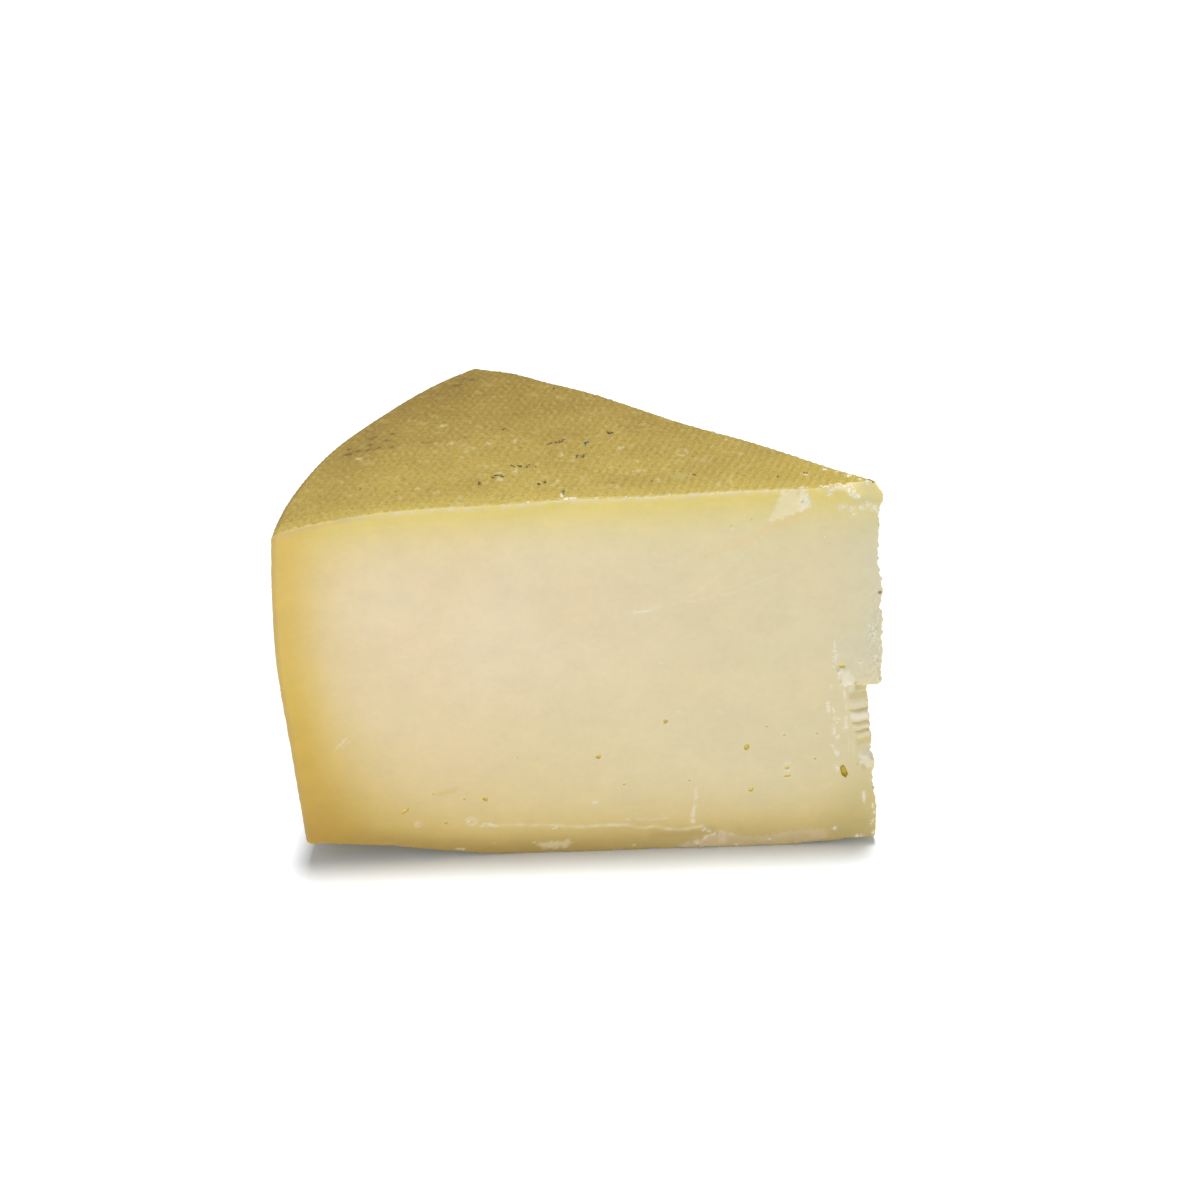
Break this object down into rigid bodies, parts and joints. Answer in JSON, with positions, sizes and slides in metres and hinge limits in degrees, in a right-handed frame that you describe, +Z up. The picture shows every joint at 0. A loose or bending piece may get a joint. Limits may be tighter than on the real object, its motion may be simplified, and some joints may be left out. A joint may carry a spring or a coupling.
{
  "type": "alpine cheese wedge",
  "caption": "Tall wedge of firm alpine cheese, cut from a low round wheel, with a straight cut face, a torn nose and a cloth-printed rind.",
  "frame": {"origin": "middle of the bounding box's base, on the flat base that the wedge stands on", "axes": "+Z up from the base to the upper rind; +X along the front cut, from the heel towards the point; +Y from the front cut back towards the back cut"},
  "size_m": [0.1634, 0.1068, 0.1126],
  "materials": {
    "paste": "smooth cut cheese paste, ivory in the middle and yellower to the rind, slightly translucent",
    "rind": "dry olive-tan natural rind with the print of the moulding cloth"
  },
  "bodies": {
    "root": {"cheese_wedge": "paste"}
  },
  "joints": []
}
